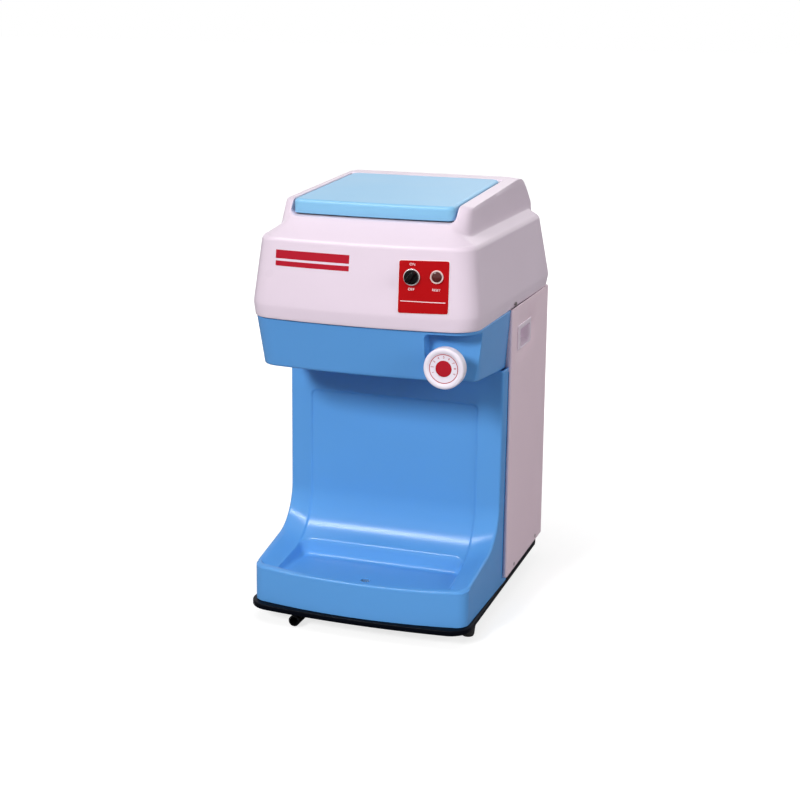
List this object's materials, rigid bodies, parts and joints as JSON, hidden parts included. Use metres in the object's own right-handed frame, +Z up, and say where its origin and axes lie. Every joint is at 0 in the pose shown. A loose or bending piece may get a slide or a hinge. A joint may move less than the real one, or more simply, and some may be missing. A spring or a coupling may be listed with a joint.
{
  "type": "electric ice shaver",
  "caption": "Counter-top electric shaver for ice cubes, with a hinged lid over the hopper, a head above an open serving bay, a drip tray with a drain, a texture dial and steel side panels.",
  "frame": {"origin": "on the surface the feet stand on, below the middle of the overall width and depth", "axes": "+Z up, -Y towards the user, +X to the user's right"},
  "size_m": [0.3184, 0.4025, 0.5759],
  "materials": {
    "base_black": "satin black",
    "foot_rubber": "matt",
    "body_blue": "glossy moulded blue",
    "lid_blue": "glossy pale blue",
    "shell_white": "glossy white",
    "panel_white": "smooth white paint",
    "plate_red": "printed red plate",
    "bright": "bright ring",
    "switch_black": "black",
    "bezel_pale": "pale ring",
    "lens_red": "dark red button",
    "dial_red": "red",
    "steel": "ground stainless steel",
    "brass_part": "turned",
    "casting": "machined casting",
    "screw": "plated",
    "belt_rubber": "fabric-backed belt",
    "motor_grey": "grey enamel",
    "frame_grey": "zinc plated steel",
    "capacitor_pale": "plastic can",
    "pipe_black": "black pipe"
  },
  "bodies": {
    "chassis": {"base_pan": "base_black", "rubber_feet": "foot_rubber", "front_body": "body_blue", "drain_strainer": "steel", "drain_pipe": "pipe_black", "head_band": "body_blue", "chute_collar": "body_blue", "hood": "shell_white", "hood_screws": "screw", "lid_hinge_pins": "steel", "lid_bumpers": "foot_rubber", "control_plate": "plate_red", "switch_bezel": "bright", "switch_body": "switch_black", "protector_bezel": "bezel_pale", "protector_body": "switch_black", "dial_bush": "brass_part", "dial_shaft_block": "casting", "holder_guide_pins": "steel", "deck_plate": "casting", "ice_hopper": "steel", "hopper_bolts": "screw", "blade_plate": "steel", "rotor_bearings": "steel", "bearing_housing": "casting", "drive_belt": "belt_rubber", "motor": "motor_grey", "motor_bracket": "frame_grey", "motor_bolts": "screw", "frame_posts": "frame_grey", "capacitor": "capacitor_pale", "side_panel_right": "panel_white", "side_panel_left": "panel_white", "grip_cup_right": "shell_white", "grip_cup_left": "shell_white", "panel_screws": "screw", "rear_panel": "panel_white", "rear_screws": "screw", "cord_gland": "switch_black"},
    "lid": {"lid": "lid_blue"},
    "rotor": {"rotor_shaft": "steel", "rotor": "casting", "rotor_nut": "steel", "rotor_pulley": "casting"},
    "motor_rotor": {"motor_shaft": "steel", "motor_pulley": "casting"},
    "dial": {"dial_knob": "shell_white", "dial_ring": "dial_red", "dial_cap": "dial_red", "dial_shaft": "steel"},
    "blade_carriage": {"blade_holder": "casting", "blade": "steel", "blade_screws": "screw"},
    "switch": {"switch_knob": "switch_black"},
    "reset": {"protector_button": "lens_red"}
  },
  "joints": [
    {"name": "lid_hinge", "type": "hinge", "parent": "chassis", "child": "lid", "pos_m": [0, 0.08296, 0.5691], "axis": [-1, 0, 0], "range_deg": [0, 100]},
    {"name": "rotor_spin", "type": "hinge", "parent": "chassis", "child": "rotor", "pos_m": [0, -0.027, 0.396], "axis": [0, 0, 1], "continuous": true},
    {"name": "motor_spin", "type": "hinge", "parent": "chassis", "child": "motor_rotor", "pos_m": [0, 0.092, 0.33], "axis": [0, 0, 1], "continuous": true},
    {"name": "dial_turn", "type": "hinge", "parent": "chassis", "child": "dial", "pos_m": [0.117, -0.2, 0.3726], "axis": [0, -1, 0], "range_deg": [0, 180]},
    {"name": "blade_lift", "type": "slide", "parent": "chassis", "child": "blade_carriage", "axis": [0, 0, 1], "range_m": [0, 0.0015]},
    {"name": "switch_turn", "type": "hinge", "parent": "chassis", "child": "switch", "pos_m": [0.0705, -0.18584, 0.481], "axis": [0.0824, -0.9885, 0.1268], "range_deg": [0, 90]},
    {"name": "reset_press", "type": "slide", "parent": "chassis", "child": "reset", "axis": [-0.1183, 0.9848, -0.1268], "range_m": [0, 0.002], "stiffness_N_per_m": 800}
  ],
  "couplings": [
    {"joint": "motor_spin", "follows": "rotor_spin", "ratio": 2.5},
    {"joint": "blade_lift", "follows": "dial_turn", "m_per_rad": 0.00047746}
  ]
}
